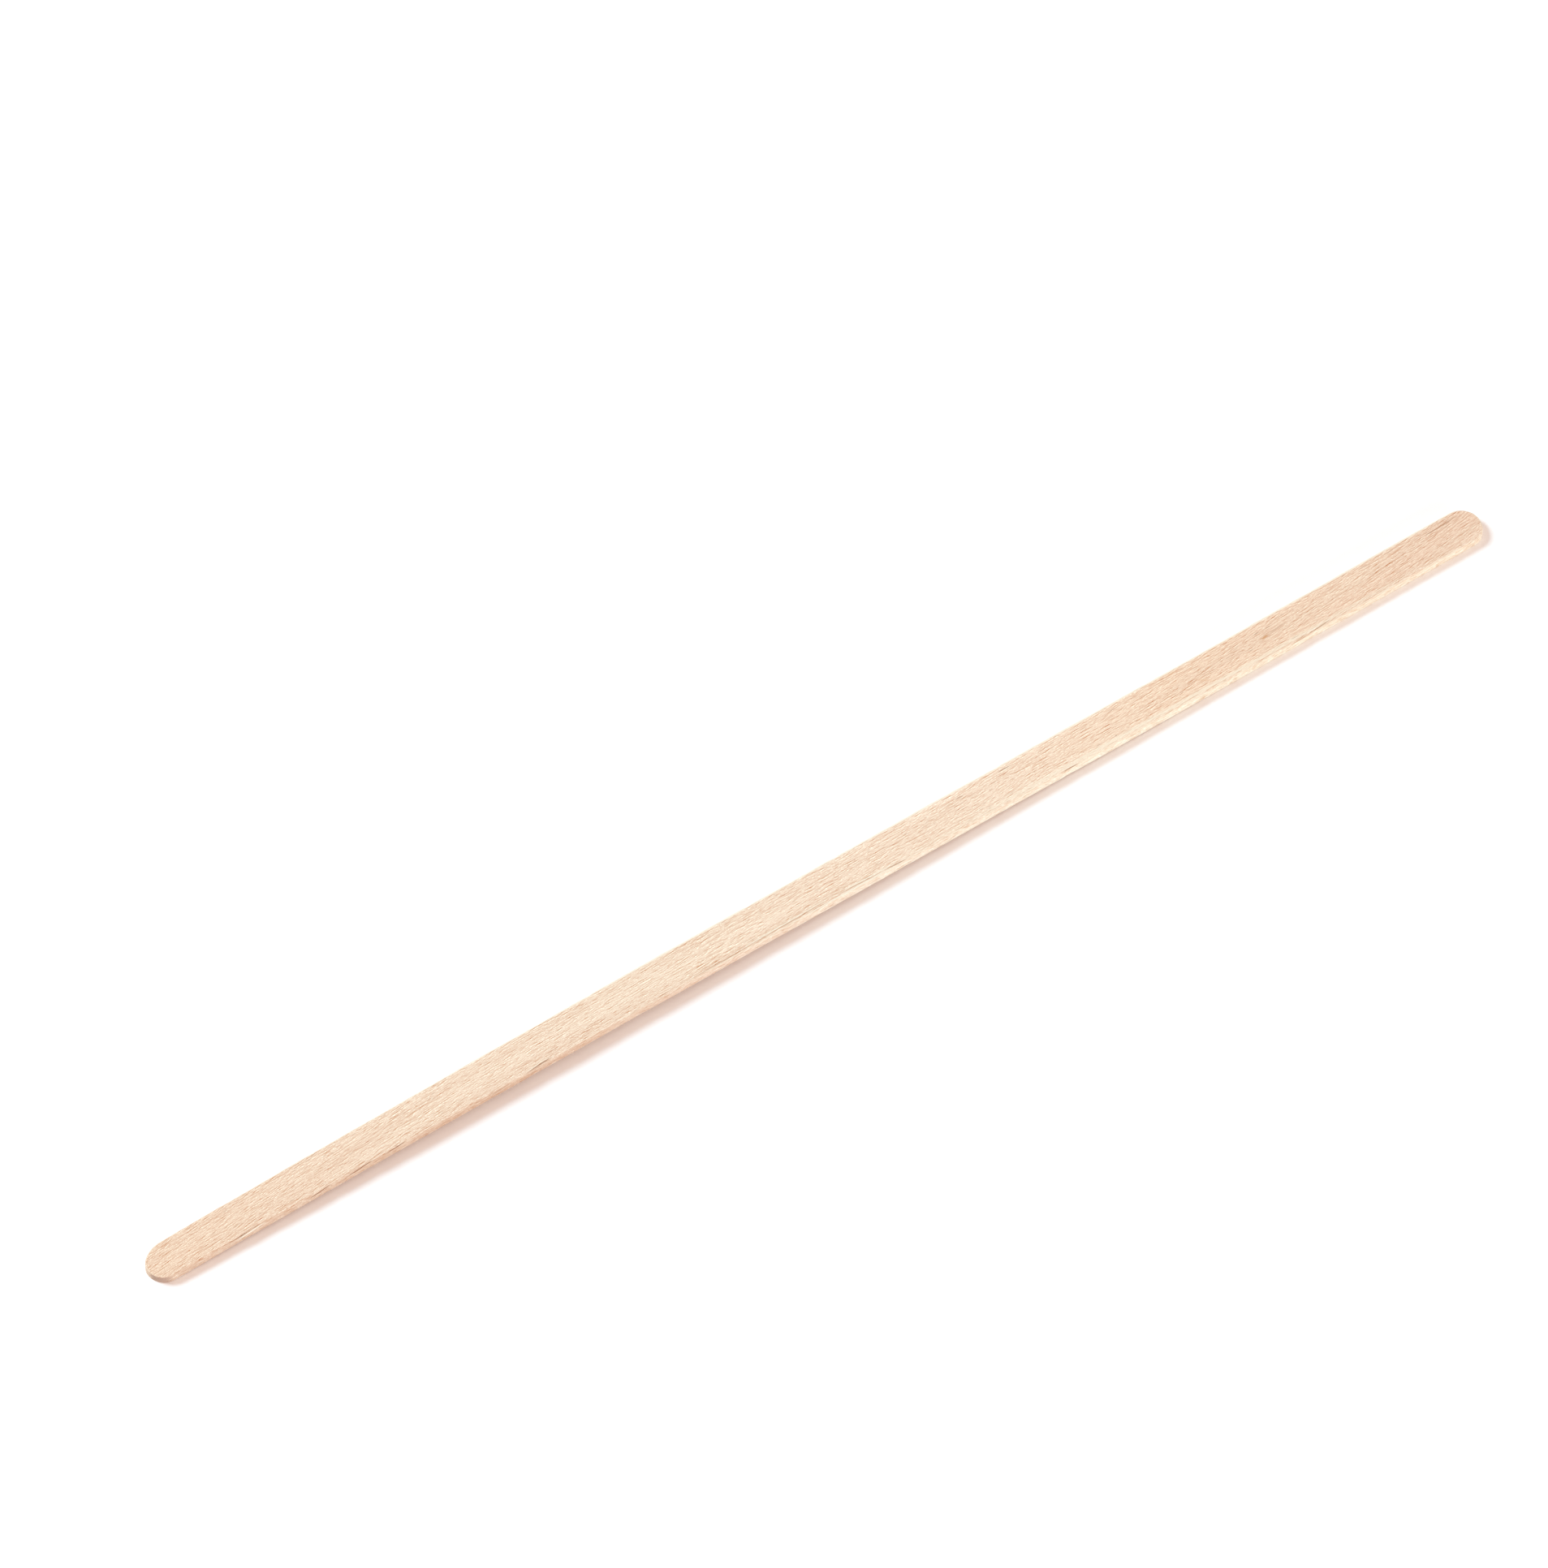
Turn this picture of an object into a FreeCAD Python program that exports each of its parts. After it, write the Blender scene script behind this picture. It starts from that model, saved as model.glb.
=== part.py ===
import FreeCAD, Part
import math
import os

import Sketcher

# A flat wooden coffee stirrer, one strip of birch veneer.
#
# It is made the way the real one is. A strip of veneer that has dried with a gentle bow
# is the blank, a die cuts the outline with its two round ends straight down through it,
# and tumbling softens every arris.
#
# The stirrer lies on its hollow side and touches the floor with both tips. X runs along
# it, from the narrow end (-X) to the broad end (+X), Y runs across it and Z points up
# through its thickness. The origin is on the floor, halfway between the tips. All sizes
# are in millimetres.

SIZES = (
    ("overall_length", 190.0),
    ("narrow_width", 4.8),
    ("broad_width", 5.2),
    ("thickness", 1.25),
    ("bow_rise", 0.8),
    ("arris_radius", 0.2),
)

PARTS_FOLDER = "parts"

# How a constraint names the points of a sketch's geometry, and the sketch's own axes.
START, END, CENTRE = range(1, 4)
ORIGIN = (-1, 1)
X_AXIS = -1
Y_AXIS = -2

# The sine of the slope that parts the upright joints of the sides from the rims.
UPRIGHT = 0.5


def make_sheet(document):
    """The driving sizes, one row each, with the size's name as the alias of its value."""
    sheet = document.addObject("Spreadsheet::Sheet", "Sizes")
    for row, (name, value) in enumerate(SIZES, start=1):
        sheet.set(f"A{row}", name)
        sheet.set(f"B{row}", str(value))
        sheet.setAlias(f"B{row}", name)
    document.recompute()
    return sheet


def new_sketch(body, name, plane_role):
    """An empty sketch on one of the body's own origin planes."""
    sketch = body.newObject("Sketcher::SketchObject", name)
    plane = [item for item in body.Origin.OriginFeatures if item.Role == plane_role][0]
    sketch.AttachmentSupport = (plane, [""])
    sketch.MapMode = "FlatFace"
    return sketch


def draw_line(sketch, start, end):
    """A straight edge between two (x, y) points, as its number in the sketch."""
    line = Part.LineSegment(FreeCAD.Vector(*start, 0), FreeCAD.Vector(*end, 0))
    return sketch.addGeometry(line, False)


def draw_arc(sketch, centre, radius, first_degrees, last_degrees):
    """An arc that runs anticlockwise between two bearings, as its number in the sketch."""
    circle = Part.Circle(FreeCAD.Vector(*centre, 0), FreeCAD.Vector(0, 0, 1), radius)
    arc = Part.ArcOfCircle(circle, math.radians(first_degrees), math.radians(last_degrees))
    return sketch.addGeometry(arc, False)


def relate(sketch, kind, *arguments):
    """Adds a geometric constraint to a sketch."""
    sketch.addConstraint(Sketcher.Constraint(kind, *arguments))


def drive(sketch, kind, arguments, name, value, expression):
    """Adds a named dimension to a sketch and ties it to the sheet."""
    index = sketch.addConstraint(Sketcher.Constraint(kind, *arguments, value))
    sketch.renameConstraint(index, name)
    sketch.setExpression(f"Constraints.{name}", expression)


def draw_bowed_side(sketch, sizes):
    """The blank seen from its long side: two arcs about one centre, closed by upright ends."""
    half_length = sizes.overall_length / 2
    reach = half_length + sizes.broad_width
    under_radius = (half_length**2 + sizes.bow_rise**2) / (2 * sizes.bow_rise)
    upper_radius = under_radius + sizes.thickness
    depth = under_radius - sizes.bow_rise

    sides = []
    for radius in (under_radius, upper_radius):
        lean = math.degrees(math.asin(reach / radius))
        sides.append(draw_arc(sketch, (0, -depth), radius, 90 - lean, 90 + lean))
    under_side, upper_side = sides
    under_height = math.sqrt(under_radius**2 - reach**2) - depth
    upper_height = math.sqrt(upper_radius**2 - reach**2) - depth
    left_end = draw_line(sketch, (-reach, under_height), (-reach, upper_height))
    right_end = draw_line(sketch, (reach, under_height), (reach, upper_height))

    relate(sketch, "Coincident", left_end, START, under_side, END)
    relate(sketch, "Coincident", left_end, END, upper_side, END)
    relate(sketch, "Coincident", right_end, START, under_side, START)
    relate(sketch, "Coincident", right_end, END, upper_side, START)
    relate(sketch, "Coincident", under_side, CENTRE, upper_side, CENTRE)
    relate(sketch, "PointOnObject", under_side, CENTRE, Y_AXIS)
    relate(sketch, "Vertical", left_end)
    relate(sketch, "Vertical", right_end)

    radius = "((Sizes.overall_length / 2) ^ 2 + Sizes.bow_rise ^ 2) / (2 * Sizes.bow_rise)"
    span = "Sizes.overall_length / 2 + Sizes.broad_width"
    centre = (under_side, CENTRE, *ORIGIN)
    drive(sketch, "Radius", (under_side,), "under_radius", under_radius, radius)
    drive(sketch, "Radius", (upper_side,), "upper_radius", upper_radius, f"{radius} + Sizes.thickness")
    drive(sketch, "DistanceY", centre, "centre_depth", depth, f"{radius} - Sizes.bow_rise")
    drive(sketch, "DistanceX", (left_end, START, *ORIGIN), "left_reach", reach, span)
    drive(sketch, "DistanceX", (*ORIGIN, right_end, START), "right_reach", reach, span)


def draw_waste_border(sketch, sizes):
    """The outside of the waste: a rectangle that clears the blank all round."""
    clearance = sizes.narrow_width + sizes.broad_width
    reach = sizes.overall_length / 2 + clearance
    corners = [(-reach, -clearance), (reach, -clearance), (reach, clearance), (-reach, clearance)]
    left, lower, right, upper = [draw_line(sketch, corners[i - 1], corners[i]) for i in range(4)]
    for first, second in ((left, lower), (lower, right), (right, upper), (upper, left)):
        relate(sketch, "Coincident", first, END, second, START)
    for upright, level in ((left, lower), (right, upper)):
        relate(sketch, "Vertical", upright)
        relate(sketch, "Horizontal", level)

    width = "Sizes.narrow_width + Sizes.broad_width"
    length = f"Sizes.overall_length / 2 + {width}"
    drive(sketch, "DistanceX", (left, END, *ORIGIN), "left_waste", reach, length)
    drive(sketch, "DistanceX", (*ORIGIN, right, END), "right_waste", reach, length)
    drive(sketch, "DistanceY", (left, END, *ORIGIN), "lower_waste", clearance, width)
    drive(sketch, "DistanceY", (*ORIGIN, right, END), "upper_waste", clearance, width)


def draw_outline(sketch, sizes):
    """The stirrer from above: two round ends of different widths and the edges tangent to both."""
    narrow = sizes.narrow_width / 2
    broad = sizes.broad_width / 2
    narrow_reach = sizes.overall_length / 2 - narrow
    broad_reach = sizes.overall_length / 2 - broad
    narrow_end = draw_arc(sketch, (-narrow_reach, 0), narrow, 90, 270)
    front_edge = draw_line(sketch, (-narrow_reach, -narrow), (broad_reach, -broad))
    broad_end = draw_arc(sketch, (broad_reach, 0), broad, -90, 90)
    back_edge = draw_line(sketch, (broad_reach, broad), (-narrow_reach, narrow))

    loop = [narrow_end, front_edge, broad_end, back_edge]
    for index, edge in enumerate(loop):
        relate(sketch, "Tangent", loop[index - 1], END, edge, START)
    relate(sketch, "PointOnObject", narrow_end, CENTRE, X_AXIS)
    relate(sketch, "PointOnObject", broad_end, CENTRE, X_AXIS)

    narrow_place = "(Sizes.overall_length - Sizes.narrow_width) / 2"
    broad_place = "(Sizes.overall_length - Sizes.broad_width) / 2"
    drive(sketch, "Diameter", (narrow_end,), "narrow_end", 2 * narrow, "Sizes.narrow_width")
    drive(sketch, "Diameter", (broad_end,), "broad_end", 2 * broad, "Sizes.broad_width")
    drive(sketch, "DistanceX", (narrow_end, CENTRE, *ORIGIN), "narrow_reach", narrow_reach, narrow_place)
    drive(sketch, "DistanceX", (*ORIGIN, broad_end, CENTRE), "broad_reach", broad_reach, broad_place)


def rim_edges(shape):
    """The edges round both faces, which are all but the upright joints of the sides."""
    names = []
    for number, edge in enumerate(shape.Edges, start=1):
        middle = (edge.FirstParameter + edge.LastParameter) / 2
        if abs(edge.tangentAt(middle).z) < UPRIGHT:
            names.append(f"Edge{number}")
    return names


def make_stirrer(document, sizes):
    """Bowed veneer, die-cut to the outline, with its arrises softened."""
    body = document.addObject("PartDesign::Body", "Stirrer")
    body.Label = "stirrer"

    side = new_sketch(body, "BowedSide", "XZ_Plane")
    draw_bowed_side(side, sizes)
    blank = body.newObject("PartDesign::Pad", "VeneerBlank")
    blank.Profile = side
    blank.SideType = "Symmetric"
    blank.setExpression("Length", "Sizes.narrow_width + Sizes.broad_width")
    document.recompute()
    blank_volume = blank.Shape.Volume

    waste = new_sketch(body, "DieWaste", "XY_Plane")
    draw_waste_border(waste, sizes)
    draw_outline(waste, sizes)
    cut = body.newObject("PartDesign::Pocket", "DieCut")
    cut.Profile = waste
    cut.SideType = "Symmetric"
    cut.Type = "ThroughAll"
    document.recompute()
    if cut.Shape.Volume >= blank_volume:
        raise RuntimeError("the die took nothing away from the blank")

    softened = body.newObject("PartDesign::Fillet", "SoftenedArrises")
    softened.Base = (cut, rim_edges(cut.Shape))
    softened.setExpression("Radius", "Sizes.arris_radius")
    body.Tip = softened
    document.recompute()
    return body


def check(document, bodies):
    """Stops if an object of the document failed or a body isn't one sound solid."""
    for item in document.Objects:
        if "Invalid" in item.State or "Error" in item.State:
            raise RuntimeError(f"{item.Name} failed: {item.State}")
    for body in bodies:
        if body.Shape.isNull() or not body.Shape.isValid():
            raise RuntimeError(f"{body.Label} has no sound shape")
        if len(body.Shape.Solids) != 1:
            raise RuntimeError(f"{body.Label} isn't one solid")


def export(bodies):
    """Writes each body to a STEP file that is named after its label."""
    os.makedirs(PARTS_FOLDER, exist_ok=True)
    for body in bodies:
        body.Shape.exportStep(f"{PARTS_FOLDER}/{body.Label}.step")
        box = body.Shape.optimalBoundingBox(False, False)
        print(f"{body.Label}: {box.XLength:.2f} x {box.YLength:.2f} x {box.ZLength:.2f} mm")
        print(f"lowest at {box.ZMin:.3f} mm, volume {body.Shape.Volume:.1f} mm3")


document = FreeCAD.newDocument("CoffeeStirrer")
sizes = make_sheet(document)
stirrer = make_stirrer(document, sizes)
check(document, [stirrer])
export([stirrer])
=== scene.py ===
import math

import bpy
import numpy as np
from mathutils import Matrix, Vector


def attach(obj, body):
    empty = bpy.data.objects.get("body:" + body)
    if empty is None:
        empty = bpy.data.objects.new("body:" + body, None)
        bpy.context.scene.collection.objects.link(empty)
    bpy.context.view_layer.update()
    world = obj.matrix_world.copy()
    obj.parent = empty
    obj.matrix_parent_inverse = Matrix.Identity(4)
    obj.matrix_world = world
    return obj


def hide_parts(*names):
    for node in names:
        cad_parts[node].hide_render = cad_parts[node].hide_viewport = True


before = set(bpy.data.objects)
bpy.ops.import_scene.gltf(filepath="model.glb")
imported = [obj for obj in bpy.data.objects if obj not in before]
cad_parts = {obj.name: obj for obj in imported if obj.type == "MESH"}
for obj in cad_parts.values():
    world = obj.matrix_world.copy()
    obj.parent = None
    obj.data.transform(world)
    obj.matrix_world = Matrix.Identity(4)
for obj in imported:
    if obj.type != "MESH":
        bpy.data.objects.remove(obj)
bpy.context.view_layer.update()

# A flat birch stirrer with its grain, its softened and slightly uneven edges, and the small
# tears that the die left along them. Lengths are in millimetres up to the point where they
# go into Blender, which takes metres. X runs along the stirrer, Y across it, Z up.

MM = 0.001
HALF_LENGTH = 95.0
THICKNESS = 1.25
ARRIS = 0.2

# Width at the narrow end, how much wider the broad end is, and how much fuller the middle.
END_WIDTH, WIDENING, FULLNESS = 4.66, 0.49, 0.265

# Height of the bow and how far its highest place leans to the narrow end.
BOW_RISE, BOW_LEAN = 0.575, 1.57

# Nothing of the strip reaches beyond these, so that it stays inside the CAD model's box.
CROWN_LIMIT = 2.045
WIDTH_LIMIT = 2.59

rng = np.random.default_rng(24)


# ---------------------------------------------------------------- shape of the strip

def wander(x, period, seed):
    """Smooth random values between about -1 and 1 that change over the given distance."""
    knots = np.random.default_rng(seed).uniform(-1, 1, 4096)
    place = x / period + 1000.0
    low = np.floor(place).astype(int)
    part = place - low
    part = part * part * (3 - 2 * part)
    return knots[low % 4096] * (1 - part) + knots[(low + 1) % 4096] * part


def wander_2d(x, y, period_x, period_y, seed):
    """The same over a plane, with its own distance each way."""
    knots = np.random.default_rng(seed).uniform(-1, 1, (1024, 256))
    px, py = x / period_x + 400.0, y / period_y + 100.0
    lx, ly = np.floor(px).astype(int), np.floor(py).astype(int)
    fx, fy = px - lx, py - ly
    fx, fy = fx * fx * (3 - 2 * fx), fy * fy * (3 - 2 * fy)
    near = knots[lx % 1024, ly % 256] * (1 - fx) + knots[(lx + 1) % 1024, ly % 256] * fx
    ly = ly + 1
    far = knots[lx % 1024, ly % 256] * (1 - fx) + knots[(lx + 1) % 1024, ly % 256] * fx
    return near * (1 - fy) + far * fy


def half_width(x):
    """Half the strip's width at a place, without the rounding of the ends."""
    q = x / HALF_LENGTH
    whole = END_WIDTH + WIDENING * (q + 1) / 2 + FULLNESS * (1 - q * q)
    return np.minimum(whole / 2, WIDTH_LIMIT - 0.01)


def bow(x):
    """Height of the hollow side above the floor, which never falls below nought."""
    q = x / HALF_LENGTH
    rise = BOW_RISE * (1 - q * q) * (1 - BOW_LEAN * q)
    return 0.5 * (rise + np.sqrt(rise * rise + 0.0009))


# How far the rounding of each end reaches along the front edge and along the back edge.
LEFT_FRONT, LEFT_BACK = 2.3, 3.3
RIGHT_FRONT, RIGHT_BACK = 2.3, 2.9

END_STEPS = 40
BODY_STEPS = 1150

quarter = np.linspace(0, math.pi / 2, END_STEPS + 1)
along = np.linspace(0, 1, BODY_STEPS + 1)[1:-1]


def edge_line(side, left_reach, right_reach):
    """One long edge from tip to tip, rounded at both ends, as x and y."""
    left = -HALF_LENGTH + left_reach * (1 - np.cos(quarter))
    right = HALF_LENGTH - right_reach * (1 - np.cos(quarter[::-1]))
    middle = left[-1] + (right[0] - left[-1]) * along
    x = np.concatenate([left, middle, right])
    fullness = np.concatenate([np.sin(quarter), np.ones_like(middle), np.sin(quarter[::-1])])
    y = side * half_width(x) * fullness
    return x, y


front_x, front_y = edge_line(-1, LEFT_FRONT, RIGHT_FRONT)
back_x, back_y = edge_line(1, LEFT_BACK, RIGHT_BACK)
STATIONS = len(front_x)

# Closed outline: along the front edge to the right tip, then back along the rear edge.
loop_x = np.concatenate([front_x, back_x[-2:0:-1]])
loop_y = np.concatenate([front_y, back_y[-2:0:-1]])
LOOP = len(loop_x)
loop_side = np.where(np.arange(LOOP) < STATIONS, -1.0, 1.0)

step = np.hypot(np.roll(loop_x, -1) - loop_x, np.roll(loop_y, -1) - loop_y)
travel = np.concatenate([[0], np.cumsum(step)[:-1]])
tangent_x = np.roll(loop_x, -1) - np.roll(loop_x, 1)
tangent_y = np.roll(loop_y, -1) - np.roll(loop_y, 1)
size = np.hypot(tangent_x, tangent_y)
inward_x, inward_y = -tangent_y / size, tangent_x / size

# How far the cut edge lies in from the outline. It isn't quite straight, and fibres have come
# away from it here and there: the place, half length and depth of each nick follow.
uneven = 0.03 * wander(travel, 11.0, 1) + 0.018 * wander(travel, 2.6, 2)
uneven = uneven + 0.010 * wander(travel, 0.7, 3)
uneven = uneven + 0.03
FRONT_NICKS = (
    (-72.1, 0.5, 0.07), (-66.9, 0.8, 0.06), (-63.0, 0.7, 0.06), (-43.3, 0.8, 0.05),
    (-28.5, 1.1, 0.05), (8.9, 0.5, 0.05), (32.6, 0.9, 0.06), (68.2, 1.4, 0.05), (80.1, 0.6, 0.04),
)
BACK_NICKS = (
    (-79.6, 0.9, 0.05), (-33.0, 0.5, 0.06), (-10.4, 0.4, 0.08), (2.0, 0.7, 0.09),
    (12.6, 0.5, 0.05), (25.0, 0.6, 0.06), (47.5, 0.7, 0.05), (71.0, 0.9, 0.04),
)
for side, nicks in ((-1, FRONT_NICKS), (1, BACK_NICKS)):
    for place, half, depth in nicks:
        nick = depth * np.exp(-((loop_x - place) / half) ** 4)
        uneven = uneven + np.where(loop_side == side, nick, 0)

# Rings of the rim, from the underside round the cut wall to the upper face: how far in from
# the outline and how high each lies, and how much of the cut wall it shows.
arris = ARRIS + 0.05 * wander(travel, 7.0, 5) + 0.03 * wander(travel, 1.3, 6)
arris = np.clip(arris, 0.1, 0.3)
foot = arris * 0.35
rings = []
for turn in np.linspace(0, math.pi / 2, 5):
    rings.append((foot * (1 - np.sin(turn)), foot * (1 - np.cos(turn)), math.sin(turn)))
for share in (0.2, 0.4, 0.6, 0.8):
    rough = 0.014 * wander(travel, 0.5, int(50 + share * 10)) + 0.012 * math.sin(math.pi * share)
    rings.append((rough, foot + (THICKNESS - foot - arris) * share, 1.0))
for turn in np.linspace(math.pi / 2, 0, 6):
    height = THICKNESS - arris * (1 - np.cos(turn))
    rings.append((arris * (1 - np.sin(turn)), height, math.sin(turn)))

# Tears in the upper face: the points that each runs through, then its width and its depth.
GROOVES = (
    (((-85.3, -2.02), (-83.3, -2.10), (-81.5, -2.16)), 0.05, 0.08),
    (((-16.0, -1.98), (-8.0, -1.96), (1.0, -2.00), (8.8, -2.08)), 0.04, 0.03),
    (((-14.0, -1.78), (-4.0, -1.74), (4.0, -1.78)), 0.035, 0.02),
    (((-24.0, -2.14), (-15.0, -2.10), (-9.0, -2.12)), 0.035, 0.03),
    (((31.5, -2.16), (33.6, -2.14)), 0.05, 0.04),
    (((66.2, -2.28), (68.4, -2.12), (70.0, -2.04)), 0.05, 0.04),
)


def distance_to(points, x, y):
    """Distance of each place to a line of points, and how far along the line it is, 0 to 1."""
    best = np.full(x.shape, 1e9)
    share = np.zeros(x.shape)
    count = len(points) - 1
    for index in range(count):
        (ax, ay), (bx, by) = points[index], points[index + 1]
        dx, dy = bx - ax, by - ay
        part = np.clip(((x - ax) * dx + (y - ay) * dy) / (dx * dx + dy * dy), 0, 1)
        gap = np.hypot(x - ax - part * dx, y - ay - part * dy)
        nearer = gap < best
        best = np.where(nearer, gap, best)
        share = np.where(nearer, (index + part) / count, share)
    return best, share


def face_height(x, y):
    """Height of the upper face over the flat veneer: slow waves, raised grain and tears."""
    height = 0.010 * wander_2d(x, y, 14.0, 2.6, 21) + 0.006 * wander_2d(x, y, 4.0, 0.45, 22)
    height = height + 0.004 * wander_2d(x, y, 1.3, 0.16, 23) - 0.012
    for points, width, depth in GROOVES:
        gap, share = distance_to(points, x, y)
        deep = depth * np.sin(np.pi * np.clip(share * 0.94 + 0.03, 0, 1)) ** 0.5
        height = height - deep * np.exp(-(gap / width) ** 2)
    return height


# What the colours need to know of each point: how much of the cut wall it shows, how far up
# the strip it lies, and its distance from the middle over the face and on down the wall.
vertices = []
cut = []
upper = []
around = []


def add_row(x, y, z, cut_share, upper_share, unrolled):
    """Adds a row of points and gives back their numbers."""
    first = len(vertices)
    z = np.minimum(z, CROWN_LIMIT)
    y = np.clip(y, -WIDTH_LIMIT, WIDTH_LIMIT)
    vertices.extend(zip(x, y, z))
    cut.extend(np.broadcast_to(cut_share, x.shape))
    upper.extend(np.broadcast_to(upper_share, x.shape))
    around.extend(np.broadcast_to(unrolled, x.shape))
    return np.arange(first, first + len(x))


ring_rows = []
for number, (inset, height, wall) in enumerate(rings):
    up = number / (len(rings) - 1)
    damage = uneven * (0.45 + 0.55 * up)
    x = loop_x + inward_x * (inset + damage)
    y = loop_y + inward_y * (inset + damage)
    unrolled = y + loop_side * (THICKNESS - height)
    ring_rows.append(add_row(x, y, bow(x) + height, wall, up, unrolled))

quads = []
for lower_row, upper_row in zip(ring_rows, ring_rows[1:]):
    quads.extend(zip(lower_row, np.roll(lower_row, -1), np.roll(upper_row, -1), upper_row))

triangles = []


def fill(ring, shares, is_upper):
    """Spans the face inside a ring with rows of points from the front edge to the back."""
    front = ring[:STATIONS]
    back = np.concatenate([[ring[0]], ring[:STATIONS - 2:-1]])
    front_points = np.array([vertices[i] for i in front])
    back_points = np.array([vertices[i] for i in back])
    rows = [front[1:-1]]
    for share in shares:
        x = front_points[1:-1, 0] * (1 - share) + back_points[1:-1, 0] * share
        y = front_points[1:-1, 1] * (1 - share) + back_points[1:-1, 1] * share
        if is_upper:
            # The tears fade in from the rim, so that the face meets it without a step.
            fade = min(1.0, min(share, 1 - share) * 40)
            z = bow(x) + THICKNESS + face_height(x, y) * fade
        else:
            z = bow(x) + 0.004 + 0.004 * wander_2d(x, y, 2.0, 0.4, 31)
        rows.append(add_row(x, y, z, 0.0, 1.0 if is_upper else 0.0, y))
    rows.append(back[1:-1])
    for near, far in zip(rows, rows[1:]):
        for a, b, c, d in zip(near, near[1:], far[1:], far):
            quads.append((a, b, c, d) if is_upper else (a, d, c, b))
        for tip, end in ((front[0], 0), (front[-1], -1)):
            order = (tip, near[end], far[end])
            if (end == 0) != is_upper:
                order = order[::-1]
            triangles.append(order)


def shares_of(distances, whole=4.7):
    """Distances from the front edge as shares of the way to the back edge."""
    return [d / whole for d in distances]


# The rows lie close together near the front edge, where the tears are.
fine = [0.04 * k for k in range(1, 22)]
coarse = [1.02, 1.22, 1.45, 1.7, 2.0, 2.35, 2.7, 3.05, 3.4, 3.7, 3.95, 4.15, 4.3]
coarse += [4.42, 4.52, 4.6, 4.65]
fill(ring_rows[-1], shares_of(fine + coarse), True)
fill(ring_rows[0], shares_of([0.3, 0.8, 1.5, 2.35, 3.2, 3.9, 4.4]), False)

faces = [tuple(int(i) for i in face) for face in quads + triangles]

# Fibres that stand off the cut edge: where each starts, where it ends, how thick it is.
# Each is a slim three-sided spike whose root is sunk in the strip.
FIBRES = [
    ((-81.0, -2.14, 1.18), (-84.2, -2.46, 1.15), 0.15),
    ((12.4, 2.45, 1.05), (12.75, 2.585, 1.2), 0.035),
    ((15.6, 2.46, 1.1), (15.25, 2.585, 1.22), 0.035),
    ((2.9, 2.42, 1.15), (2.1, 2.57, 1.2), 0.05),
]
for _ in range(150):
    side = rng.choice([-1.0, 1.0])
    place = rng.uniform(-92, 92)
    root = side * (half_width(np.array(place)) - 0.12)
    reach = rng.uniform(0.02, 0.09)
    run = rng.uniform(0.2, 0.7) * rng.choice([-1.0, 1.0])
    level = rng.uniform(0.15, 1.15)
    tip_y = np.clip(root + side * (0.09 + reach), -WIDTH_LIMIT, WIDTH_LIMIT)
    tip_level = level + rng.uniform(-0.05, 0.05)
    tip = (place + run, float(tip_y), tip_level)
    FIBRES.append(((place, float(root), level), tip, rng.uniform(0.025, 0.05)))
for start, end, thick in FIBRES:
    start, end = np.array(start), np.array(end)
    start[2] += bow(start[0])
    end[2] = min(end[2] + bow(end[0]), CROWN_LIMIT)
    run = (end - start) / np.linalg.norm(end - start)
    across = np.cross(run, (0, 0, 1))
    across = across / np.linalg.norm(across)
    over = np.cross(across, run)
    base = len(vertices)
    middle = start + (end - start) * 0.55
    for centre, radius in ((start, thick * 0.5), (middle, thick * 0.42)):
        for turn in (0.0, 2.1, 4.2):
            outward = across * math.cos(turn) + over * math.sin(turn)
            vertices.append(tuple(centre + radius * outward))
    vertices.append(tuple(end))
    cut.extend([0.6] * 7)
    upper.extend([0.7] * 7)
    around.extend([9.0] * 7)
    for k in range(3):
        following = (k + 1) % 3
        faces.append((base + k, base + following, base + 3 + following, base + 3 + k))
        faces.append((base + 3 + k, base + 3 + following, base + 6))
    faces.append((base + 2, base + 1, base))

mesh = bpy.data.meshes.new("stirrer_strip")
mesh.from_pydata([tuple(float(c) * MM for c in point) for point in vertices], [], faces)
for name, values in (("cut_wall", cut), ("upper_face", upper), ("around", around)):
    attribute = mesh.attributes.new(name, "FLOAT", "POINT")
    attribute.data.foreach_set("value", np.asarray(values, np.float32))
mesh.validate()
mesh.update()
mesh.shade_smooth()
strip = bpy.data.objects.new("stirrer_strip", mesh)
bpy.context.scene.collection.objects.link(strip)


# ---------------------------------------------------------------- birch

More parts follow.
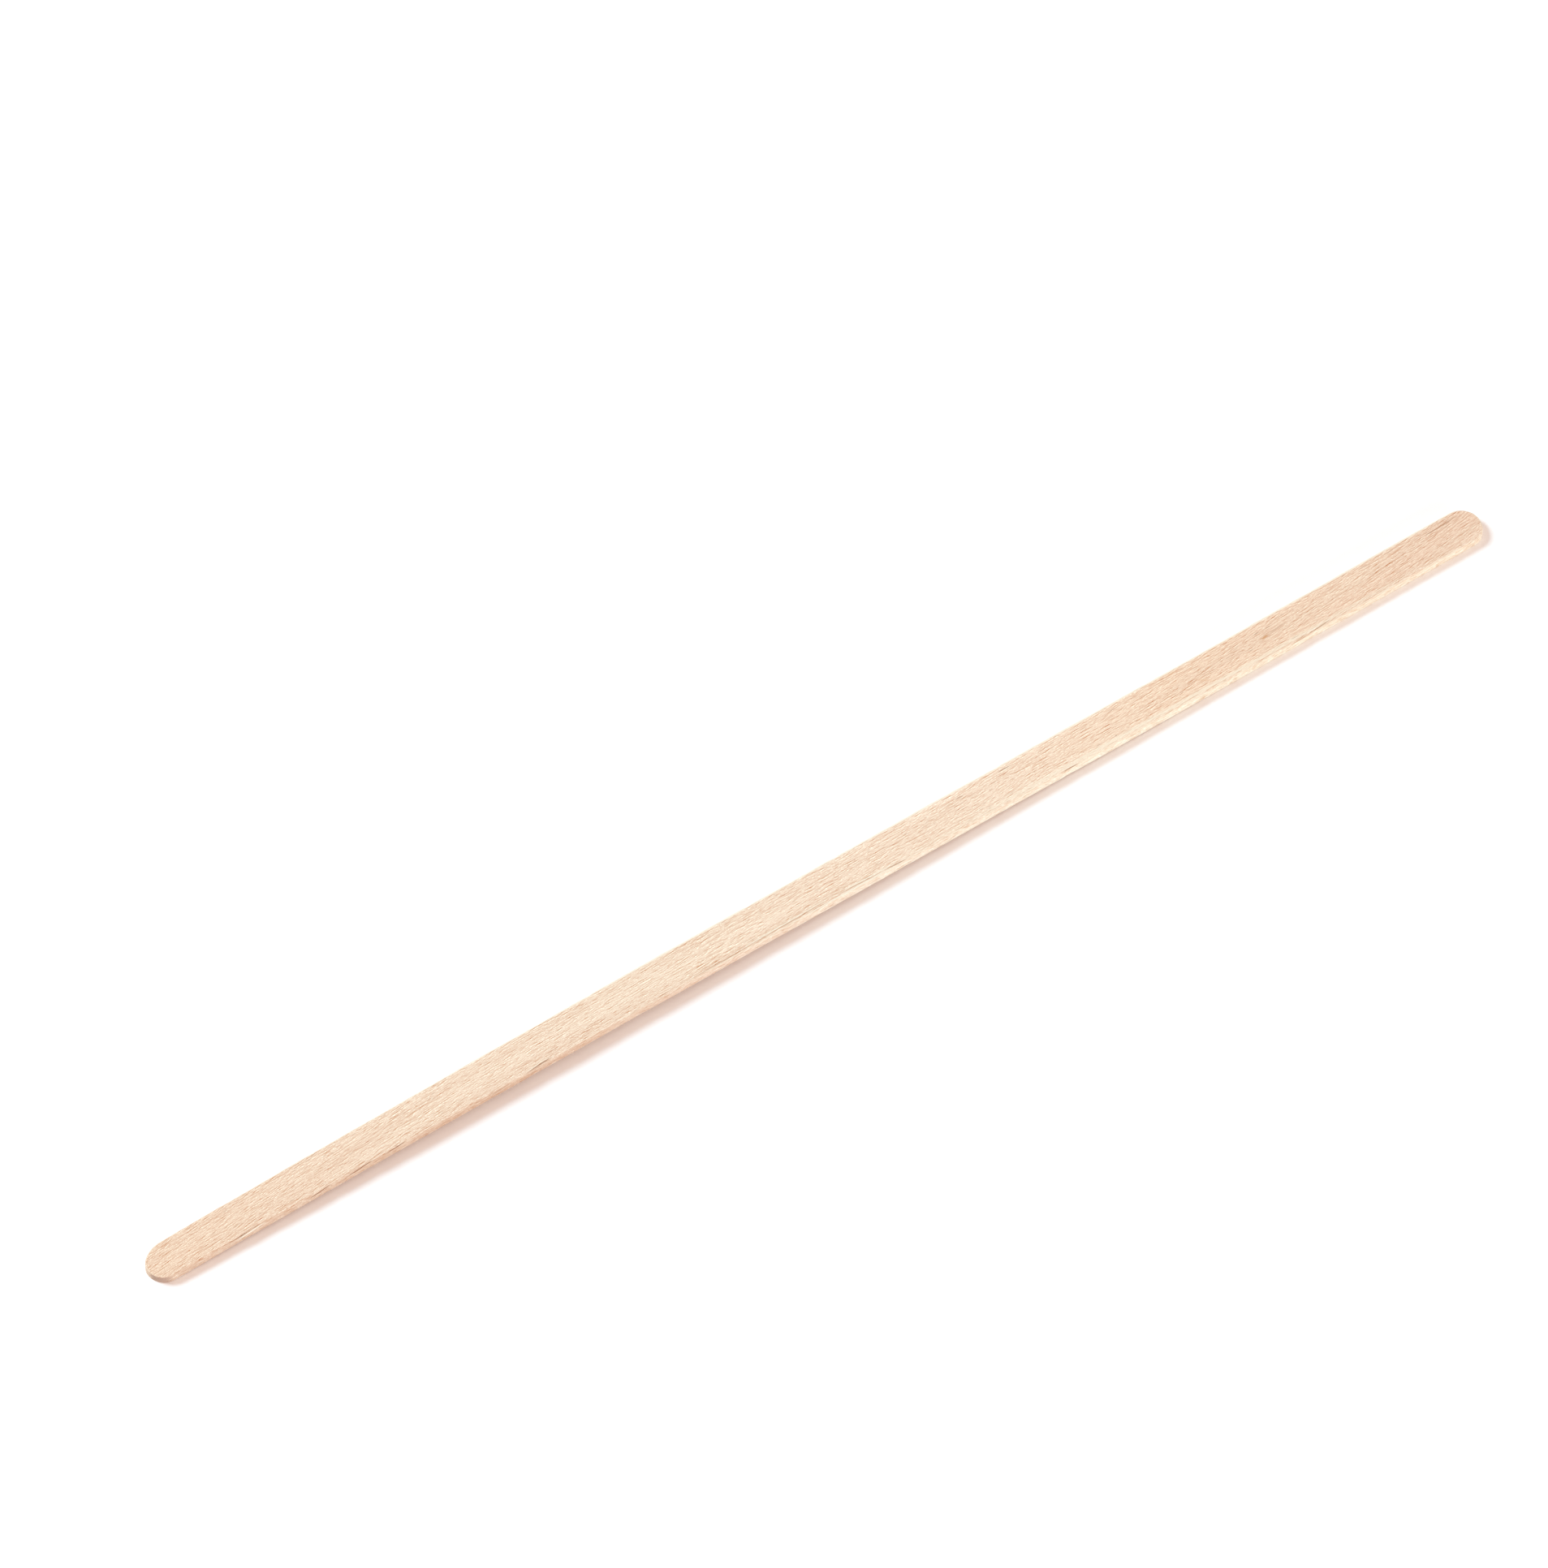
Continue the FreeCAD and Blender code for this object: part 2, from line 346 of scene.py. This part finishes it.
class Nodes:
    """Short names for the shader nodes of one new material or world, which starts empty."""

    def __init__(self, owner):
        owner.use_nodes = True
        self.tree = owner.node_tree
        self.tree.nodes.clear()

    def add(self, kind, inputs=None, **settings):
        node = self.tree.nodes.new(kind)
        for key, value in settings.items():
            setattr(node, key, value)
        for key, value in (inputs or {}).items():
            socket = node.inputs[key]
            if isinstance(value, bpy.types.NodeSocket):
                self.tree.links.new(value, socket)
            else:
                socket.default_value = value
        return node

    def maths(self, operation, *values):
        return self.add("ShaderNodeMath", dict(enumerate(values)), operation=operation).outputs[0]

    def noise(self, vector, detail=2.0, roughness=0.5):
        inputs = {"Vector": vector, "Scale": 1.0, "Detail": detail, "Roughness": roughness}
        return self.add("ShaderNodeTexNoise", inputs, noise_dimensions="3D").outputs["Fac"]

    def scaled(self, vector, scale, offset=(0, 0, 0)):
        inputs = {"Vector": vector, "Location": offset, "Scale": scale}
        return self.add("ShaderNodeMapping", inputs).outputs[0]

    def painted(self, name):
        """What the mesh says of each point under this name."""
        node = self.add("ShaderNodeAttribute", attribute_name=name, attribute_type="GEOMETRY")
        return node.outputs["Fac"]

    def span(self, value, low, high, to_low=0.0, to_high=1.0, smooth=True):
        """Carries one range of values over to another, and holds still beyond its ends."""
        inputs = {"Value": value, "From Min": low, "From Max": high,
                  "To Min": to_low, "To Max": to_high}
        kind = "SMOOTHSTEP" if smooth else "LINEAR"
        return self.add("ShaderNodeMapRange", inputs, interpolation_type=kind).outputs[0]

    def blend(self, share, first, second, mode="MIX", clamp=True):
        node = self.add("ShaderNodeMix", data_type="RGBA", blend_type=mode, clamp_factor=clamp)
        for index, value in ((0, share), (6, first), (7, second)):
            if isinstance(value, bpy.types.NodeSocket):
                self.tree.links.new(value, node.inputs[index])
            elif index == 0:
                node.inputs[index].default_value = value
            else:
                node.inputs[index].default_value = (*value, 1.0)
        return node.outputs[2]

    def ramp(self, value, stops):
        node = self.add("ShaderNodeValToRGB", {"Fac": value})
        elements = node.color_ramp.elements
        while len(elements) < len(stops):
            elements.new(0.5)
        for element, (place, colour) in zip(elements, stops):
            element.position = place
            element.color = (*colour, 1.0)
        return node.outputs["Color"]

    def mark(self, place, start, end, half_width, soft=0.6):
        """1 inside a slim ellipse that runs from start to end, 0 outside, with a soft border."""
        half_length = math.dist(start, end) / 2
        x, y = (start[0] + end[0]) / 2, (start[1] + end[1]) / 2
        slant = math.atan2(end[1] - start[1], end[0] - start[0])
        inputs = {"Vector": place, "Location": (x, y, 0), "Rotation": (0, 0, slant),
                  "Scale": (half_length, half_width, 1.0)}
        moved = self.add("ShaderNodeMapping", inputs, vector_type="TEXTURE").outputs[0]
        length = self.add("ShaderNodeVectorMath", {0: moved}, operation="LENGTH").outputs["Value"]
        return self.span(length, 1.0 - soft, 1.0, 1.0, 0.0)


def srgb(red, green, blue):
    """A screen colour, 0 to 255, as the shader takes it."""
    return tuple(((c / 255 + 0.055) / 1.055) ** 2.4 for c in (red, green, blue))


birch = bpy.data.materials.new("birch_veneer")
n = Nodes(birch)
place = n.add("ShaderNodeTexCoord").outputs["Object"]
place = n.scaled(place, (1000.0, 1000.0, 1000.0))
split = n.add("ShaderNodeSeparateXYZ", {0: place})
flat = n.add("ShaderNodeCombineXYZ", {0: split.outputs[0], 1: split.outputs[1], 2: 0.0}).outputs[0]
wall_share = n.painted("cut_wall")
top_share = n.painted("upper_face")
x = split.outputs[0]
y = split.outputs[1]
along_share = n.span(x, -95.0, 95.0, smooth=False)

# The grain climbs across the strip from left to right, by a few degrees near the ends and
# hardly at all in the middle, so the place across is sheared by a curve before it is drawn.
slow = n.noise(n.scaled(flat, (0.030, 0.04, 1.0), (3.0, 1.0, 0.0)), detail=0.0)
lean = n.maths("MULTIPLY", n.maths("SUBTRACT", slow, 0.5), 0.9)
cube = n.maths("MULTIPLY", n.maths("MULTIPLY", x, x), n.maths("MULTIPLY", x, 0.0000026))
climb = n.maths("ADD", n.maths("MULTIPLY", x, 0.02), cube)
sheared = n.maths("ADD", n.maths("SUBTRACT", y, climb), lean)
grain = n.add("ShaderNodeCombineXYZ", {0: x, 1: sheared, 2: split.outputs[2]}).outputs[0]
around_place = n.painted("around")
unrolled_place = n.add("ShaderNodeCombineXYZ", {0: x, 1: around_place, 2: 0.0}).outputs[0]

# Colour along the strip, then broad bands of the growth rings.
body = n.ramp(along_share, (
    (0.0, srgb(246, 217, 190)), (0.14, srgb(249, 225, 200)), (0.34, srgb(251, 230, 206)),
    (0.62, srgb(254, 232, 208)), (0.76, srgb(251, 223, 195)), (1.0, srgb(244, 212, 186))))
band = n.noise(n.scaled(grain, (0.022, 0.55, 0.5), (11.0, 4.0, 0.0)), detail=1.0)
body = n.blend(n.span(band, 0.35, 0.68, 0.0, 0.40), body, srgb(238, 207, 180))
blush = n.noise(n.scaled(grain, (0.05, 0.22, 0.3), (40.0, 9.0, 0.0)), detail=2.0)
body = n.blend(n.span(blush, 0.45, 0.75, 0.0, 0.30), body, srgb(250, 229, 203))

# Fibres of three lengths, each about a tenth of a millimetre wide. A fibre shows as a thin dark
# dash, its own colour deepened by painted shade, with a pale painted highlight in front of it on
# the rim that the cut lifted.
def centred(value, weight):
    return n.maths("MULTIPLY", n.maths("SUBTRACT", value, 0.5), weight)


def dashes(length_scale, width_scale, shift, offset, low, high):
    """The dark dashes of one length and the pale ones in front of them, each from 0 to 1."""
    pair = []
    for moved in (0.0, shift):
        spot = (offset[0], offset[1] + moved, offset[2])
        value = n.noise(n.scaled(grain, (length_scale, width_scale, width_scale), spot), detail=0.0)
        pair.append(n.span(value, low, high))
    return pair


short_dark, short_pale = dashes(2.3, 9.0, 0.95, (5.0, 2.0, 7.0), 0.52, 0.70)
mid_dark, mid_pale = dashes(1.00, 9.5, 0.95, (1.0, 8.0, 2.0), 0.55, 0.71)
long_dark, long_pale = dashes(0.42, 8.5, 0.90, (19.0, 4.0, 3.0), 0.57, 0.72)
flecked = n.noise(n.scaled(grain, (7.5, 7.0, 7.0), (8.0, 3.0, 4.0)), detail=1.0)
broken = n.span(flecked, 0.36, 0.64, 0.35, 1.65, smooth=False)
dark = n.maths("ADD", n.maths("MULTIPLY", short_dark, 0.60), n.maths("MULTIPLY", mid_dark, 1.10))
dark = n.maths("MULTIPLY", n.maths("ADD", dark, n.maths("MULTIPLY", long_dark, 1.00)), broken)
pale = n.maths("ADD", n.maths("MULTIPLY", short_pale, 0.55), n.maths("MULTIPLY", mid_pale, 0.90))
pale = n.maths("MULTIPLY", n.maths("ADD", pale, n.maths("MULTIPLY", long_pale, 0.75)), broken)
tone = n.maths("SUBTRACT", n.maths("MULTIPLY", pale, 0.34), n.maths("MULTIPLY", dark, 0.54))
tone = n.maths("ADD", n.maths("ADD", tone, 0.60), centred(flecked, 1.60))
shading = n.blend(tone, (0.83, 0.70, 0.63), (1.11, 1.22, 1.29), clamp=False)
body = n.blend(1.0, body, shading, mode="MULTIPLY")
vessels = n.noise(n.scaled(grain, (0.95, 8.5, 8.5), (9.0, 3.0, 5.0)), detail=1.0)
vessel_share = n.span(vessels, 0.67, 0.77, 0.0, 0.6)
body = n.blend(vessel_share, body, srgb(194, 158, 130))

# The cut wall, with painted shade that makes it tanner at the left and a little darker low down,
# and painted light that makes it pale and creamy at the right.
wall_top_lit_and_shaded = n.ramp(along_share, (
    (0.0, srgb(234, 204, 178)), (0.16, srgb(238, 212, 187)), (0.30, srgb(237, 210, 185)),
    (0.42, srgb(249, 231, 209)), (0.48, srgb(254, 239, 217)), (0.62, srgb(252, 233, 209)),
    (0.74, srgb(255, 240, 214)), (1.0, srgb(252, 232, 206))))
wall_foot_lit_and_shaded = n.ramp(along_share, (
    (0.0, srgb(232, 204, 180)), (0.13, srgb(232, 203, 178)), (0.24, srgb(221, 184, 156)),
    (0.42, srgb(246, 222, 199)), (0.52, srgb(252, 238, 217)), (0.68, srgb(255, 247, 226)),
    (1.0, srgb(254, 240, 217))))
wall = n.blend(n.span(top_share, 0.35, 0.80), wall_foot_lit_and_shaded, wall_top_lit_and_shaded)
wall_lines = n.noise(n.scaled(unrolled_place, (0.35, 6.0, 1.0), (31.0, 5.0, 3.0)), roughness=0.6)
lined = n.maths("MULTIPLY", n.span(wall_lines, 0.52, 0.70), n.span(x, -30.0, 5.0, 0.80, 0.30))
wall = n.blend(lined, wall, (0.87, 0.80, 0.77), mode="MULTIPLY")
wall = n.blend(n.span(wall_lines, 0.46, 0.30, 0.0, 0.45), wall, srgb(255, 246, 226))
wall = n.blend(n.maths("MULTIPLY", vessel_share, 0.5), wall, srgb(205, 166, 136))
wall = n.blend(0.75, wall, shading, mode="MULTIPLY", clamp=False)
colour = n.blend(n.span(wall_share, 0.62, 1.0), body, wall)

# A painted highlight makes a pale line along the arrises where the wall meets the face, and another
# along the back arris.
arris_highlight = n.maths("MULTIPLY", n.span(wall_share, 0.15, 0.55), n.span(wall_share, 0.98, 0.7))
patchy = n.noise(n.scaled(grain, (0.35, 1.0, 1.0), (17.0, 0.0, 0.0)), detail=2.0)
arris_highlight = n.maths("MULTIPLY", arris_highlight, n.span(patchy, 0.35, 0.6, 0.15, 1.0))
arris_highlight = n.maths("MULTIPLY", arris_highlight, n.span(x, -62.0, -20.0, 0.25, 0.85))
colour = n.blend(arris_highlight, colour, srgb(255, 246, 224))
back_arris_highlight = n.span(around_place, 3.0, 2.6, 0.0, 0.9)
back_arris_highlight = n.maths("MULTIPLY", n.span(around_place, 2.16, 2.38), back_arris_highlight)
colour = n.blend(back_arris_highlight, colour, srgb(255, 247, 230))

# Stains, flecks, tears and open cracks, pale lines beside some of them, and painted highlights
# along the front arris. Each runs between two points, which are given as the place along the
# strip and the distance across, measured from the middle over the upper face and on down the
# wall. Then come its half width, softness, strength and colour.
MARKS = (
    ((49.4, 1.92), (51.4, 2.02), 0.26, 0.9, 0.30, (226, 176, 128)),
    ((51.7, 0.25), (54.7, -2.10), 0.26, 0.9, 0.34, (226, 178, 132)),
    ((61.6, 0.75), (65.6, 0.20), 0.42, 1.0, 0.22, (214, 164, 128)),
    ((31.0, 0.30), (38.6, -2.10), 0.40, 1.0, 0.16, (228, 186, 150)),
    ((62.10, -0.10), (63.90, 0.22), 0.28, 0.9, 0.85, (212, 156, 106)),
    ((62.9, 0.10), (66.9, 0.48), 0.20, 0.9, 0.58, (207, 166, 134)),
    ((61.9, 1.05), (63.0, 1.06), 0.09, 0.6, 0.60, (176, 132, 102)),
    ((63.6, 1.06), (64.7, 1.08), 0.09, 0.6, 0.55, (182, 138, 108)),
    ((39.6, -1.74), (40.0, -1.70), 0.10, 0.6, 0.60, (160, 112, 76)),
    ((42.9, -1.31), (43.3, -1.29), 0.09, 0.6, 0.55, (166, 120, 84)),
    ((24.7, 1.75), (27.1, 1.77), 0.09, 0.6, 0.72, (164, 122, 92)),
    ((25.0, 1.57), (27.6, 1.60), 0.08, 0.6, 0.60, (255, 246, 222)),
    ((18.4, 1.29), (19.9, 1.31), 0.08, 0.6, 0.60, (178, 138, 108)),
    ((23.6, -1.55), (25.6, -1.51), 0.055, 0.6, 0.50, (190, 150, 120)),
    ((78.2, 1.80), (79.8, 1.79), 0.06, 0.6, 0.55, (176, 134, 104)),
    ((81.7, 1.84), (83.9, 1.85), 0.06, 0.6, 0.50, (182, 140, 110)),
    ((80.9, -1.23), (83.2, -1.23), 0.055, 0.6, 0.45, (186, 146, 116)),
    ((84.0, -0.40), (84.7, -0.35), 0.06, 0.6, 0.50, (176, 134, 104)),
    ((87.4, 1.38), (91.0, 1.43), 0.100, 0.6, 0.75, (186, 138, 104)),
    ((89.6, 1.42), (92.4, 1.53), 0.100, 0.6, 0.78, (184, 134, 100)),
    ((91.7, 1.61), (93.1, 1.64), 0.080, 0.7, 0.55, (194, 148, 114)),
    ((65.2, -1.99), (66.8, -1.97), 0.080, 0.6, 0.65, (170, 126, 96)),
    ((64.6, -2.70), (67.9, -2.64), 0.100, 0.5, 0.85, (186, 134, 96)),
    ((66.8, -2.66), (71.4, -2.20), 0.110, 0.5, 0.82, (178, 126, 90)),
    ((66.6, -2.40), (70.4, -2.04), 0.10, 0.6, 0.75, (255, 248, 228)),
    ((54.9, -2.54), (55.7, -2.51), 0.07, 0.6, 0.50, (184, 138, 106)),
    ((31.3, -2.54), (34.0, -2.54), 0.100, 0.5, 0.80, (164, 120, 90)),
    ((31.2, -2.38), (34.0, -2.36), 0.07, 0.6, 0.55, (255, 248, 228)),
    ((-23.2, -2.40), (-14.4, -2.30), 0.080, 0.5, 0.52, (190, 146, 114)),
    ((-14.8, -2.30), (-1.3, -2.10), 0.080, 0.5, 0.56, (188, 144, 112)),
    ((-1.7, -2.10), (6.4, -2.34), 0.080, 0.5, 0.60, (186, 140, 108)),
    # Painted highlight along the front arris.
    ((-9.0, -2.42), (13.0, -2.58), 0.200, 0.8, 0.80, (255, 251, 232)),
    ((5.6, -2.32), (9.4, -2.47), 0.095, 0.5, 0.74, (178, 130, 96)),
    ((-17.0, -2.14), (0.5, -1.92), 0.100, 0.6, 0.65, (255, 251, 230)),
    ((-1.5, -1.93), (9.4, -2.24), 0.100, 0.6, 0.65, (255, 251, 230)),
    ((-14.0, -1.82), (4.0, -1.76), 0.040, 0.6, 0.35, (202, 162, 130)),
    ((-19.2, -2.50), (-11.5, -2.22), 0.075, 0.6, 0.45, (182, 136, 104)),
    ((-27.7, -2.50), (-23.5, -2.25), 0.075, 0.6, 0.45, (184, 138, 106)),
    ((-41.8, -1.67), (-39.2, -1.54), 0.060, 0.6, 0.45, (192, 150, 120)),
    ((-45.2, -2.62), (-40.7, -2.20), 0.120, 0.5, 0.78, (160, 114, 84)),
    ((-44.8, -2.36), (-40.8, -2.00), 0.090, 0.6, 0.60, (255, 245, 222)),
    ((-50.0, -3.08), (-47.0, -2.66), 0.140, 0.6, 0.55, (178, 130, 98)),
    ((-69.8, -2.88), (-65.4, -2.40), 0.130, 0.5, 0.95, (148, 98, 68)),
    ((-74.8, -2.98), (-71.2, -2.40), 0.130, 0.5, 0.95, (150, 100, 70)),
    ((-64.4, -2.72), (-61.0, -2.38), 0.120, 0.5, 0.90, (154, 104, 74)),
    ((-71.0, -2.95), (-59.5, -2.85), 0.300, 0.9, 0.28, (206, 160, 124)),
    ((-86.0, -2.56), (-80.6, -2.24), 0.110, 0.5, 0.90, (166, 120, 88)),
    # Painted highlight along the front arris near the left tip.
    ((-84.8, -2.98), (-80.0, -2.38), 0.180, 0.6, 0.95, (255, 252, 236)),
    ((50.0, -2.74), (97.0, -2.74), 0.120, 0.8, 0.38, (246, 216, 188)),
    # Painted highlights: a broad pale band over the front margin and arris, and a pale line on the
    # arris.
    ((-4.0, -2.12), (101.0, -2.12), 0.420, 0.9, 0.64, (255, 244, 221)),
    ((30.0, -2.56), (95.0, -2.56), 0.060, 0.7, 0.45, (255, 250, 232)),
)
# Painted shade on the cut wall at the front of the left tip.
tip_shade = n.maths("MULTIPLY", n.span(x, -93.9, -92.6, 1.0, 0.0), n.span(y, -0.3, -1.0))
tip_shade = n.maths("MULTIPLY", tip_shade, n.span(wall_share, 0.90, 1.0, 0.0, 0.80))
colour = n.blend(tip_shade, colour, srgb(190, 158, 142))
above = n.span(top_share, 0.0, 0.1)
for start, end, half_wide, soft, strength, paint in MARKS:
    mask = n.maths("MULTIPLY", n.mark(unrolled_place, start, end, half_wide, soft), above)
    colour = n.blend(n.maths("MULTIPLY", mask, strength), colour, srgb(*paint))

# Fibres lift the surface a little, and the cut wall is rougher than the sliced faces.
relief = n.maths("ADD", n.maths("MULTIPLY", tone, 0.5), n.maths("MULTIPLY", vessel_share, -0.5))
rough_wall = n.maths("MULTIPLY", wall_lines, wall_share)
relief = n.maths("ADD", relief, n.maths("MULTIPLY", rough_wall, -0.9))
bump = n.add("ShaderNodeBump", {"Strength": 0.5, "Distance": 0.00003, "Height": relief})
gloss = n.span(tone, 0.0, 1.0, 0.82, 0.62)

shader = n.add("ShaderNodeBsdfPrincipled", {"Base Color": colour, "Roughness": gloss,
                                            "Normal": bump.outputs[0]})
shader.inputs["Specular IOR Level"].default_value = 0.25
n.add("ShaderNodeOutputMaterial", {"Surface": shader.outputs[0]})
mesh.materials.append(birch)

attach(strip, "root")
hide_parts("stirrer")


# ---------------------------------------------------------------- floor, light and camera

def seen_directly(nodes):
    """1 for the rays that show the background itself, and 0 for those that carry its light."""
    path = nodes.add("ShaderNodeLightPath").outputs
    mirrored = nodes.maths("MAXIMUM", path["Is Glossy Ray"], path["Is Transmission Ray"])
    return nodes.maths("MAXIMUM", path["Is Camera Ray"], mirrored)


def paper():
    """White wherever the picture shows it, apart from the object's shadow on it."""
    material = bpy.data.materials.new("studio_floor")
    f = Nodes(material)
    seen = seen_directly(f)
    tint = f.blend(seen, (0.93, 0.93, 0.93), (0.95, 1.04, 1.06))
    sheet = f.add("ShaderNodeBsdfDiffuse", {"Color": tint})
    spot = f.add("ShaderNodeTexCoord").outputs["Object"]
    distance = f.add("ShaderNodeVectorMath", {0: spot}, operation="LENGTH").outputs["Value"]
    # Near the object the camera sees a cool floor with a warm glow added, a painted light that
    # lightens the object's shadow and turns it pinkish; from 0.15 to 0.4 m away the glow turns
    # white.
    lift = f.blend(f.span(distance, 0.15, 0.40), (0.14, 0.04, 0.02), (1.0, 1.0, 1.0))
    glow = f.add("ShaderNodeEmission", {"Color": lift, "Strength": seen})
    both = f.add("ShaderNodeAddShader", {0: sheet.outputs[0], 1: glow.outputs[0]})
    f.add("ShaderNodeOutputMaterial", {"Surface": both.outputs[0]})
    return material


FLOOR_REACH = 4.0
floor_mesh = bpy.data.meshes.new("studio_floor")
corners = [(a * FLOOR_REACH, b * FLOOR_REACH, 0) for a, b in ((-1, -1), (1, -1), (1, 1), (-1, 1))]
floor_mesh.from_pydata(corners, [], [(0, 1, 2, 3)])
floor_mesh.materials.append(paper())
floor = bpy.data.objects.new("studio_floor", floor_mesh)
floor.location.z = -0.00001
bpy.context.scene.collection.objects.link(floor)


def area_light(name, toward, distance, width, irradiance, colour):
    """A soft square lamp that lights a surface that faces it as strongly as is asked."""
    toward = Vector(toward).normalized()
    data = bpy.data.lights.new(name, "AREA")
    data.shape = "SQUARE"
    data.size = width
    data.energy = irradiance * math.pi * distance * distance
    data.color = colour
    lamp = bpy.data.objects.new(name, data)
    lamp.location = toward * distance
    lamp.rotation_mode = "QUATERNION"
    lamp.rotation_quaternion = toward.to_track_quat("Z", "Y")
    bpy.context.scene.collection.objects.link(lamp)


# Irradiances are in units of pi, so that 1 in all shows a colour as it is written. The
# surroundings are warm and the key light is a little cool: together they are neutral.
area_light("key_light", (-0.45, 0.574, 0.682), 2.5, 0.90, 0.77 * math.pi, (0.66, 0.885, 1.0))
area_light("front_fill", (0.25, -0.945, 0.21), 2.5, 0.9, 0.40 * math.pi, (0.93, 1.0, 1.06))

world = bpy.data.worlds.new("studio")
bpy.context.scene.world = world
w = Nodes(world)
surroundings = w.blend(seen_directly(w), (0.595, 0.476, 0.416), (1.0, 1.0, 1.0))
background = w.add("ShaderNodeBackground", {"Color": surroundings})
w.add("ShaderNodeOutputWorld", {"Surface": background.outputs[0]})

# The camera stands a metre from the strip. Its focal length is in pixels of the photo, and
# the sensor's longer side is the photo's height.
FOCAL_PIXELS, FRAME_PIXELS, SENSOR = 10326.0, 1932.0, 36.0
camera_data = bpy.data.cameras.new("view")
camera_data.sensor_width = SENSOR
camera_data.lens = FOCAL_PIXELS * SENSOR / FRAME_PIXELS
camera_data.clip_start = 0.05
camera_data.clip_end = 20.0
camera = bpy.data.objects.new("view", camera_data)
bpy.context.scene.collection.objects.link(camera)
bpy.context.scene.camera = camera
HEADING = math.radians(33.90)
TILT = math.radians(56.4)
target = Vector((2.50, 16.10, 0.0)) * MM
away = Vector((math.sin(HEADING), math.cos(HEADING), 0.0))
back = -away * math.cos(TILT) + Vector((0, 0, 1)) * math.sin(TILT)
camera.location = target + back
camera.rotation_mode = "QUATERNION"
camera.rotation_quaternion = back.to_track_quat("Z", "Y")

bpy.context.scene.view_settings.view_transform = "Standard"
